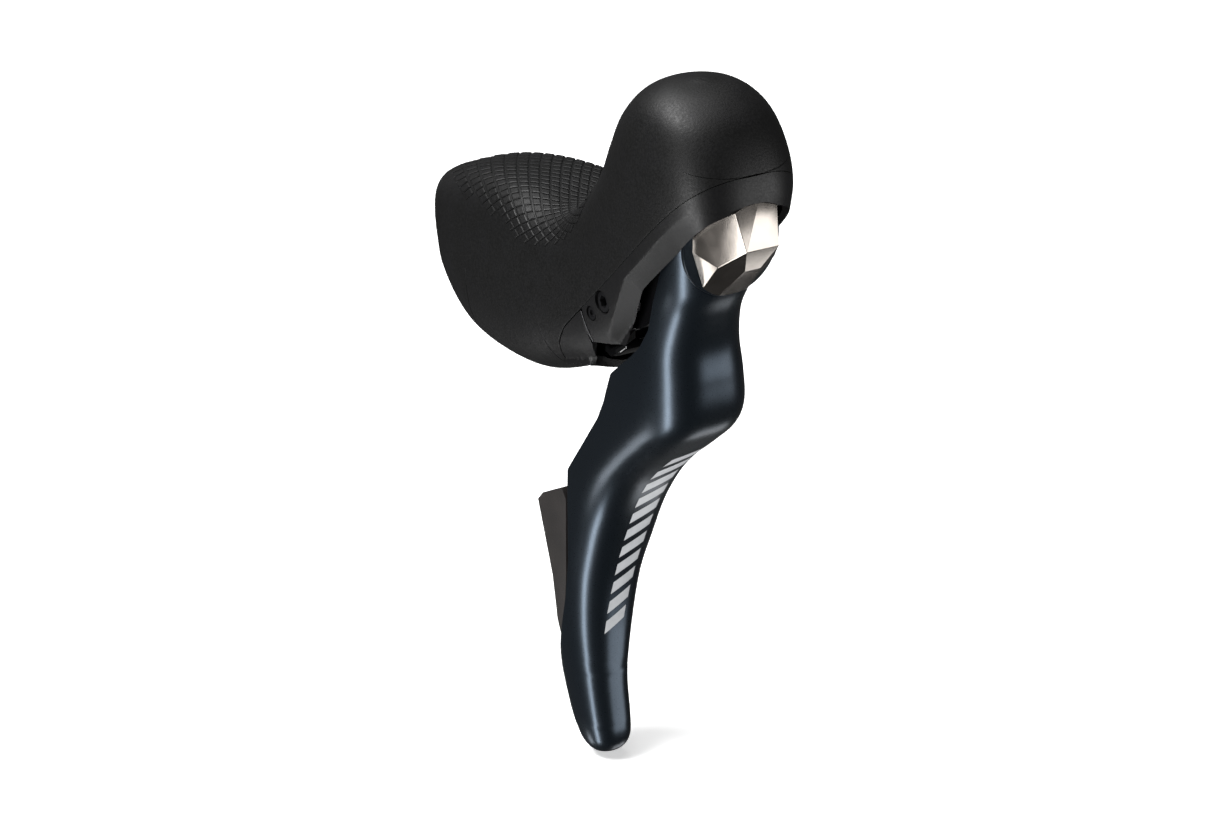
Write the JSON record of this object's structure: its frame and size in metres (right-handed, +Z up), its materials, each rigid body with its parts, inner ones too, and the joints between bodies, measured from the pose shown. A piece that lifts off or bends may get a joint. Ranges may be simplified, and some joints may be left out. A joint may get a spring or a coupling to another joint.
{
  "type": "brake shift lever",
  "caption": "Right-hand dual-control lever for a drop bar: rubber-hooded hydraulic brake body with curved blade, release paddle and cable shift unit.",
  "frame": {"origin": "centre of the handlebar clamp, on the bar's axis in the lever's mid-plane", "axes": "+X forward along the bike, +Y to the rider's left, +Z up; the bar's axis leans in the XZ plane, its lower end forward"},
  "size_m": [0.128, 0.036, 0.1805],
  "materials": {
    "hood_rubber": "matt, fine mottled",
    "bracket_plastic": "satin glass-filled",
    "gloss_black": "gloss",
    "bright_steel": "satin",
    "dark_steel": "black oxide",
    "plate_steel": "satin",
    "seal_rubber": "matt",
    "brass": "satin",
    "nickel": "polished, warm",
    "blade_paint": "satin metallic",
    "paddle_plastic": "matt",
    "white_plastic": "satin",
    "piston_resin": "satin"
  },
  "bodies": {
    "housing": {"hood_cover": "hood_rubber", "bracket_body": "bracket_plastic", "front_frame": "bracket_plastic", "lower_panel": "bracket_plastic", "under_cover": "gloss_black", "clamp_band": "bright_steel", "clamp_bolt": "dark_steel", "clamp_nut": "dark_steel", "lever_axle": "dark_steel", "axle_clip": "dark_steel", "axle_plug": "dark_steel", "cylinder_sleeve": "bright_steel", "piston_spring": "bright_steel", "reservoir_diaphragm": "seal_rubber", "reservoir_lid": "bracket_plastic", "lid_screws": "dark_steel", "bleed_screw": "dark_steel", "bleed_oring": "seal_rubber", "hose_nut": "dark_steel", "hose_olive": "brass", "cable_stop": "bright_steel", "lever_spring": "bright_steel", "reach_screw": "dark_steel", "shift_plates": "plate_steel", "shift_spindle": "plate_steel", "spindle_nut": "plate_steel", "drum_spring": "bright_steel", "pawl_pin": "plate_steel"},
    "yoke": {"lever_yoke": "gloss_black", "yoke_bushes": "brass", "swing_spindle": "bright_steel", "head_cap": "nickel", "cap_screw": "dark_steel", "blade_spring": "bright_steel"},
    "blade": {"brake_blade": "blade_paint", "blade_bush": "brass"},
    "paddle": {"release_paddle": "paddle_plastic", "paddle_bush": "brass"},
    "piston": {"master_piston": "piston_resin", "primary_cup": "seal_rubber", "secondary_cup": "seal_rubber", "push_rod": "bright_steel"},
    "drum": {"cable_drum": "white_plastic", "ratchet_wheel": "plate_steel"},
    "winder": {"winding_arm": "plate_steel"},
    "winder_pawl": {"winding_pawl": "plate_steel"},
    "releaser": {"release_arm": "plate_steel"},
    "holder": {"holding_pawl": "plate_steel"}
  },
  "joints": [
    {"name": "brake_pivot", "type": "hinge", "parent": "housing", "child": "yoke", "pos_m": [0.0735, 0, 0.0195], "axis": [0, 1, 0], "range_deg": [0, 14], "stiffness_Nm_per_rad": 2, "springref_deg": -6.88, "deforming": ["lever_spring"]},
    {"name": "blade_swing", "type": "hinge", "parent": "yoke", "child": "blade", "pos_m": [0.1, 0, 0.0385], "axis": [1, 0, 0], "range_deg": [0, 20], "stiffness_Nm_per_rad": 0.6, "springref_deg": -8.59, "deforming": ["blade_spring"]},
    {"name": "paddle_swing", "type": "hinge", "parent": "blade", "child": "paddle", "pos_m": [0.0953, 0, 0.0385], "axis": [1, 0, 0], "range_deg": [0, 8], "stiffness_Nm_per_rad": 0.3, "springref_deg": -8.59},
    {"name": "piston_slide", "type": "slide", "parent": "housing", "child": "piston", "axis": [0.766, 0, 0.6428], "range_m": [0, 0.0045], "deforming": ["piston_spring"]},
    {"name": "drum_turn", "type": "hinge", "parent": "housing", "child": "drum", "pos_m": [0.0439, 0, 0.0115], "axis": [1, 0, 0], "range_deg": [0, 190], "deforming": ["drum_spring"]},
    {"name": "winder_turn", "type": "hinge", "parent": "housing", "child": "winder", "pos_m": [0.0499, 0, 0.0115], "axis": [1, 0, 0], "range_deg": [0, 20]},
    {"name": "winder_pawl_tip", "type": "hinge", "parent": "winder", "child": "winder_pawl", "pos_m": [0.0475, -0.00363, 0.00154], "axis": [-1, 0, 0], "range_deg": [0, 5], "stiffness_Nm_per_rad": 0.002, "springref_deg": -11.46},
    {"name": "releaser_turn", "type": "hinge", "parent": "housing", "child": "releaser", "pos_m": [0.0518, 0, 0.0115], "axis": [1, 0, 0], "range_deg": [0, 8]},
    {"name": "holder_tip", "type": "hinge", "parent": "housing", "child": "holder", "pos_m": [0.0475, 0.00184, 0.02194], "axis": [-1, 0, 0], "range_deg": [0, 5]}
  ],
  "couplings": [
    {"joint": "piston_slide", "follows": "brake_pivot", "m_per_rad": 0.018},
    {"joint": "winder_turn", "follows": "blade_swing", "ratio": 1},
    {"joint": "releaser_turn", "follows": "paddle_swing", "ratio": 1},
    {"joint": "holder_tip", "follows": "paddle_swing", "ratio": 0.4}
  ]
}
